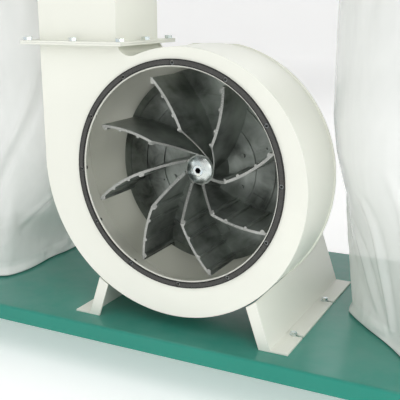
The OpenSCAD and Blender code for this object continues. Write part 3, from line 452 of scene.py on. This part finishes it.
def lower_bag(side, turn, half_width, half_depth, shift, corner, creases, seed):
    """Film bag: round at the drum, flattened to a cornered bottom where it stands on the tray.

    The bottom's middle lies shift away from the drum's.
    corner is the direction, reach and spread of the corners that the bottom seam makes.
    creases are (direction, height) at the upper and the lower end, depth and width.
    """
    lo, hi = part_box("collection_bag_" + side)
    full = (hi.x - lo.x) / 2
    centre = np.array([(lo.x + hi.x) / 2, (lo.y + hi.y) / 2])
    drum_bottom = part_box("drum_" + side)[0].z
    hem_r = full - 1.9 * MM
    heights = [tray_top + 0.014, tray_top + 0.095, tray_top + 0.121, tray_top + 0.207, tray_top + 0.241,
               tray_top + 0.290, tray_top + 0.345, drum_bottom - 0.095, drum_bottom - 0.022, hi.z]
    foot_r = full - 0.062
    radii = [foot_r, full - 0.047, full - 0.038, full - 0.026, full - 0.017,
             full - 0.007, full, full, hem_r, hem_r]
    draw = random.Random(seed)
    around, rings_on_drum = 216, 10
    angle = np.arange(around) / around * 2 * math.pi
    folds = [(draw.randint(2, 8), draw.uniform(0, 6.28), draw.uniform(-6, 6)) for _ in range(6)]
    tucks = [(draw.uniform(0, 2 * math.pi), draw.uniform(-2, 2), draw.uniform(0.04, 0.07)) for _ in range(14)]
    levels = np.concatenate([np.linspace(hi.z, drum_bottom - 0.02, rings_on_drum),
                             np.linspace(drum_bottom - 0.03, tray_top + 0.014, 92)])
    rings = []
    for z in levels:
        radius = np.interp(z, heights, radii)
        floor_share = float(smooth_step((tray_top + 0.30 - z) / 0.29))
        below_band = float(smooth_step((drum_bottom - 0.004 - z) / 0.05))
        near_band = float(smooth_step((drum_bottom - 0.010 - z) / 0.02)
                          * smooth_step((z - drum_bottom + 0.16) / 0.14))
        flat = 2 + 1.3 * floor_share
        a = radius * (1 - floor_share) + half_width * floor_share
        b = radius * (1 - floor_share) + half_depth * floor_share
        t = angle - turn
        shape = (abs(np.cos(t) / a) ** flat + abs(np.sin(t) / b) ** flat) ** (-1 / flat)
        at, reach, spread = corner
        for side_of_seam in (0, math.pi):
            off = (angle - at - side_of_seam + math.pi) % (2 * math.pi) - math.pi
            shape = shape + reach * floor_share ** 2 * np.exp(-(off / spread) ** 2)
        ripple = sum(np.sin(n * angle + p + lean * (drum_bottom - z)) for n, p, lean in folds) / len(folds)
        r = shape + below_band * (ripple - 0.5) * (1.2 * MM + 6 * MM * floor_share)
        for at, lean, wide in tucks:
            off = (angle - at - lean * (drum_bottom - z) + math.pi) % (2 * math.pi) - math.pi
            r = r - near_band * 2.2 * MM * np.exp(-(off / wide) ** 2)
        for from_angle, from_z, to_angle, to_z, depth, wide in creases:
            share = (z - tray_top - from_z) / (to_z - from_z)
            if not 0 < share < 1:
                continue
            at = from_angle + (to_angle - from_angle) * share + 0.03 * math.sin(7 * share)
            off = ((angle - at + math.pi) % (2 * math.pi) - math.pi) * full
            fade = math.sin(math.pi * share) ** 0.6
            ridge = np.exp(-(off / wide) ** 2)
            valley = np.exp(-((off - 1.7 * wide) / wide) ** 2)
            r = r + fade * depth * (ridge - 0.8 * valley)
        r = np.minimum(r, radius + 3 * MM * below_band + corner[1])
        middle = centre + np.array(shift) * floor_share
        rings.append(np.stack([middle[0] + r * np.cos(angle), middle[1] + r * np.sin(angle),
                               np.full(around, z)], axis=1))
    foot = rings[-1]
    centre3 = np.array([*middle, 0])
    out = (foot - centre3) * [1, 1, 0]
    flare = 1 + 0.03 * (1 + np.sin(4 * angle + seed)) / 2
    body_rings = len(rings)
    for grow, z in ((flare, 8), (flare * 1.02, 3), (flare * 0.99, 1.2), (0.92, 1.0), (0.7, 0.9),
                    (0.4, 0.9), (0.15, 0.9)):
        g = np.broadcast_to(grow, angle.shape)[:, None]
        ring = centre3 + out * g
        ring[:, 2] = tray_top + z * MM
        rings.append(ring)
    wide = 2 * math.pi * full
    bag = skin("film_bag_" + side, rings, finish["bag_film"], wide)
    held = list(range((rings_on_drum + 1) * around))
    held += list(range((body_rings + 1) * around, len(bag.data.vertices)))
    simulate(bag, held, 20, pressure=1.2, growth=0.014, bending=0.05, mass=0.06, cap=5 * MM)
    smoother = bag.modifiers.new("Smoother", "SUBSURF")
    smoother.levels = smoother.render_levels = 1
    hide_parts("collection_bag_" + side)
    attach(bag, "frame")
    return bag


def upper_bag(side, seed):
    """Felt bag, blown full, hung by its loop and clamped on the drum, with its seam down one side."""
    lo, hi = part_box("filter_bag_" + side)
    full = (hi.x - lo.x) / 2
    centre = np.array([(lo.x + hi.x) / 2, (lo.y + hi.y) / 2])
    drum_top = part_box("drum_" + side)[1].z
    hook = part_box("bag_hangers")[1].z - 3 * MM
    top = drum_top + 0.870
    hem_r = full - 4.3 * MM
    heights = [lo.z, drum_top + 0.02, drum_top + 0.12, drum_top + 0.42, top - 0.15, top - 0.06, top - 0.02]
    radii = [hem_r, hem_r, full - 5 * MM, full - 3 * MM, full - 8 * MM, full - 0.032, full - 0.075]
    draw = random.Random(seed)
    around, rings_on_drum, rings_above = 144, 8, 66
    angle = np.arange(around) / around * 2 * math.pi
    gathers = [(draw.randint(9, 30), draw.uniform(0, 6.28)) for _ in range(6)]
    slow = [(draw.randint(2, 6), draw.uniform(0, 6.28), draw.uniform(-4, 4)) for _ in range(5)]
    rings = []
    for z in np.concatenate([np.linspace(lo.z, drum_top + 0.004, rings_on_drum),
                             np.linspace(drum_top + 0.014, top - 0.02, rings_above)]):
        radius = np.interp(z, heights, radii)
        near = float(smooth_step((z - drum_top) / 0.03) * smooth_step((drum_top + 0.26 - z) / 0.24))
        crown = float(smooth_step((z - top + 0.20) / 0.18))
        body = float(smooth_step((z - drum_top - 0.02) / 0.12))
        tight = sum(np.sin(n * angle + p) for n, p in gathers) / len(gathers)
        loose = sum(np.sin(n * angle + p + lean * z) for n, p, lean in slow) / len(slow)
        r = radius + tight * (3.5 * near + 6 * crown) * MM + loose * 4 * body * MM
        rings.append(np.stack([centre[0] + r * np.cos(angle), centre[1] + r * np.sin(angle),
                               np.full(around, z)], axis=1))
    last = rings[-1]
    for share, rise in ((0.86, 0.008), (0.68, 0.013), (0.48, 0.016), (0.28, 0.018), (0.10, 0.0185)):
        ring = last.copy()
        ring[:, :2] = centre + (last[:, :2] - centre) * share
        ring[:, 2] = top - 0.02 + rise
        rings.append(ring)
    wide = 2 * math.pi * full
    bag = skin("felt_bag_" + side, rings, finish["filter_cloth"], wide)
    simulate(bag, range((rings_on_drum + 1) * around), 18, cap=7 * MM, pressure=2.2)
    thick = bag.modifiers.new("Thickness", "SOLIDIFY")
    thick.thickness = 1.2 * MM
    thick.offset = -1
    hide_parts("filter_bag_" + side)
    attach(bag, "frame")

    # Webbing loop over the hanger, sewn to the bag's crown
    half, reach = 11 * MM, 9.5 * MM
    line = [(-9 * MM, top + 0.5 * MM), (-reach * 1.25, top + 12 * MM)]
    line += [(reach * math.sin(t), hook - 5 * MM + reach * math.cos(t))
             for t in np.linspace(-1.75, 1.75, 15)]
    line += [(reach * 1.25, top + 12 * MM), (9 * MM, top + 0.5 * MM)]
    verts = [(centre[0] + x, centre[1] + y, z) for x, z in line for y in (-half, half)]
    faces = [(2 * i, 2 * i + 1, 2 * i + 3, 2 * i + 2) for i in range(len(line) - 1)]
    loop = add_object("hanging_loop_" + side, verts, faces, finish["filter_cloth"],
                      [(v[1], v[2]) for v in verts])
    band = loop.modifiers.new("Thickness", "SOLIDIFY")
    band.thickness = 1.6 * MM
    band.offset = 1
    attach(loop, "frame")

    # Felled seam down the bag
    seam_at = int(around * 0.24)
    column = [np.array(bag.data.vertices[i * around + seam_at].co)
              for i in range(1, rings_on_drum + rings_above)]
    seam_half = 9 * MM
    seam_verts = []
    for p in column:
        out = np.array([p[0] - centre[0], p[1] - centre[1], 0])
        out /= np.linalg.norm(out)
        across = np.array([-out[1], out[0], 0])
        for s in (-seam_half, seam_half):
            seam_verts.append(p + across * s + out * 0.5 * MM)
    seam_faces = [(2 * i, 2 * i + 1, 2 * i + 3, 2 * i + 2) for i in range(len(column) - 1)]
    seam = add_object("felled_seam_" + side, seam_verts, seam_faces, finish["filter_cloth"],
                      [(v[0], v[2]) for v in seam_verts])
    fold = seam.modifiers.new("Thickness", "SOLIDIFY")
    fold.thickness = 1.4 * MM
    fold.offset = 0
    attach(seam, "frame")
    return bag


# The left bag is squeezed against the housing; the right one stands turned, one flat face to the front left
lower_bag("left", math.radians(2), 0.126, 0.208, (-0.040, 0.0), (math.radians(-83), 0.010, 0.35),
          [(math.radians(-42), 0.42, math.radians(-72), 0.10, 7 * MM, 11 * MM),
           (math.radians(-15), 0.20, math.radians(-60), 0.05, 5 * MM, 13 * MM),
           (math.radians(-80), 0.40, math.radians(-100), 0.06, 6 * MM, 14 * MM),
           (math.radians(5), 0.30, math.radians(25), 0.04, 4 * MM, 12 * MM)], 5)
lower_bag("right", math.radians(42), 0.170, 0.200, (0.0, 0.0), (math.radians(-93), 0.008, 0.20),
          [(math.radians(-118), 0.29, math.radians(-105), 0.09, 6 * MM, 10 * MM),
           (math.radians(-140), 0.24, math.radians(-128), 0.02, 5 * MM, 12 * MM),
           (math.radians(-165), 0.18, math.radians(-140), 0.03, 4 * MM, 14 * MM),
           (math.radians(-96), 0.42, math.radians(-110), 0.16, 5 * MM, 12 * MM)], 8)
upper_bag("left", 3)
upper_bag("right", 4)


# ---------------------------------------------------------------- stage, light and camera

def studio_sweep():
    """A round floor that curves up into a pale wall on every side."""
    around, flat, bend, tall = 96, 8.0, 2.5, 7.0
    glow = 0.37
    profile = [(flat * (i / 8) ** 1.4, 0.0) for i in range(1, 9)]
    profile += [(flat + bend * math.sin(t), bend * (1 - math.cos(t)))
                for t in np.linspace(0.15, math.pi / 2, 10)]
    profile.append((flat + bend, tall))
    verts = [(0, 0, 0)]
    for r, z in profile:
        verts += [(r * math.cos(2 * math.pi * j / around), r * math.sin(2 * math.pi * j / around), z)
                  for j in range(around)]
    faces = [(0, 1 + j, 1 + (j + 1) % around) for j in range(around)]
    for i in range(len(profile) - 1):
        for j in range(around):
            k = (j + 1) % around
            inner, outer = 1 + i * around, 1 + (i + 1) * around
            faces.append((inner + j, outer + j, outer + k, inner + k))
    made = Finish("sweep_paint", (0.93, 0.93, 0.925), 0.7)
    made.relief(made.noise(60, 3), 0.1 * MM, 0.2)
    made.shader.inputs["Specular IOR Level"].default_value = 0.1
    made.shader.inputs["Emission Color"].default_value = (1, 1, 1, 1)
    made.shader.inputs["Emission Strength"].default_value = glow
    return add_object("studio_sweep", verts, faces, made.mat)


studio_sweep()

world = bpy.data.worlds.new("studio")
world.use_nodes = True
world.node_tree.nodes["Background"].inputs["Color"].default_value = (1.0, 1.0, 0.995, 1)
world.node_tree.nodes["Background"].inputs["Strength"].default_value = 0.15
scene.world = world


def softbox(name, place, target, size, power):
    """A soft rectangular light that faces target; power is in watts."""
    lamp = bpy.data.lights.new(name, "AREA")
    lamp.shape = "RECTANGLE"
    lamp.size, lamp.size_y = size
    lamp.energy = power
    made = bpy.data.objects.new(name, lamp)
    scene.collection.objects.link(made)
    made.location = place
    made.rotation_mode = "QUATERNION"
    made.rotation_quaternion = (Vector(target) - Vector(place)).to_track_quat("-Z", "Y")


aim = (0.05, -0.1, 0.4)
softbox("key", (2.2, -2.05, 1.6), aim, (1.6, 1.4), 24)
softbox("right", (3.2, -0.5, 1.2), aim, (1.6, 1.8), 18)
softbox("upper", (0.5, -1.9, 3.2), aim, (1.8, 1.8), 24)
softbox("left", (-2.6, -1.0, 1.7), aim, (1.6, 1.8), 12)
softbox("back", (-0.6, 2.8, 2.6), aim, (2.4, 1.2), 18)

# The focal length is for a picture FRAME_PX wide
FRAME_PX = 400
FOCAL_PX = 741.5
yaw, pitch, roll = math.radians(27.03), math.radians(14.61), math.radians(-0.20)
camera = bpy.data.objects.new("camera", bpy.data.cameras.new("camera"))
scene.collection.objects.link(camera)
camera.data.lens = FOCAL_PX / FRAME_PX * camera.data.sensor_width
camera.location = (0.5801, -1.2155, 0.6183)
look = Vector((-math.sin(yaw) * math.cos(pitch), math.cos(yaw) * math.cos(pitch), -math.sin(pitch)))
camera.rotation_mode = "QUATERNION"
camera.rotation_quaternion = look.to_track_quat("-Z", "Y") @ Quaternion((0, 0, 1), roll)
camera.data.clip_start = 0.02
camera.data.clip_end = 100
scene.camera = camera
scene.view_settings.view_transform = "Standard"
